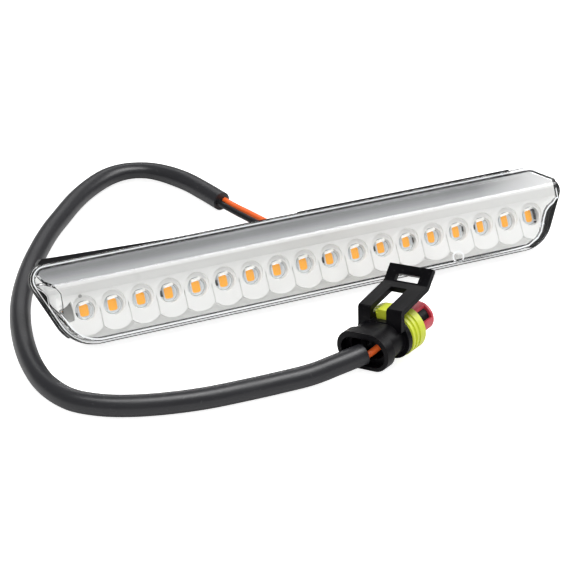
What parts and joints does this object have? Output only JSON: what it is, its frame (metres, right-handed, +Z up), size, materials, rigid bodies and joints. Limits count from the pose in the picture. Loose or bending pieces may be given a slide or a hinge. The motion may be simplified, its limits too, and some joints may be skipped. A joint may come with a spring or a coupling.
{
  "type": "vehicle indicator lamp",
  "caption": "Slim LED indicator lamp for a vehicle: black tray, clear lens, white bowl reflector and a sleeved lead with a sealed two-way plug.",
  "frame": {"origin": "on the ground below the middle of the lamp, measured without its lead and plug", "axes": "+X along the light row to the mounting block's end, -Y towards the side the lights face, +Z up from the ground the lamp rests on, leaning back 30 degrees"},
  "size_m": [0.1789, 0.151, 0.0254],
  "materials": {
    "housing_black": "satin",
    "lens_clear": "gloss",
    "reflector_white": "satin",
    "board_white": "satin",
    "led_package": "satin",
    "component_black": "matte",
    "screw_steel": "satin",
    "insert_brass": "satin",
    "gland_rubber": "matte",
    "wire_orange": "satin",
    "wire_black": "satin",
    "sleeve_black": "satin",
    "plug_black": "satin",
    "seal_lime": "satin",
    "lock_red": "satin",
    "terminal_tin": "satin"
  },
  "bodies": {
    "root": {"rear_housing": "housing_black", "lens": "lens_clear", "reflector": "reflector_white", "circuit_board": "board_white", "led_01": "led_package", "led_02": "led_package", "led_03": "led_package", "led_04": "led_package", "led_05": "led_package", "led_06": "led_package", "led_07": "led_package", "led_08": "led_package", "led_09": "led_package", "led_10": "led_package", "led_11": "led_package", "led_12": "led_package", "led_13": "led_package", "led_14": "led_package", "led_15": "led_package", "led_16": "led_package", "led_17": "led_package", "led_18": "led_package", "driver_chip": "component_black", "input_diode": "component_black", "surge_clamp": "component_black", "series_resistor": "component_black", "board_screw_1": "screw_steel", "board_screw_2": "screw_steel", "insert_1": "insert_brass", "insert_2": "insert_brass", "cable_gland": "gland_rubber", "tail_orange": "wire_orange", "tail_black": "wire_black", "lead_orange": "wire_orange", "lead_black": "wire_black", "sleeve": "sleeve_black", "plug_housing": "plug_black", "ring_seal": "seal_lime", "secondary_lock": "lock_red", "wire_seal_1": "gland_rubber", "wire_seal_2": "gland_rubber", "terminal_1": "terminal_tin", "terminal_2": "terminal_tin", "plug_wire_orange": "wire_orange", "plug_wire_black": "wire_black"}
  },
  "joints": []
}
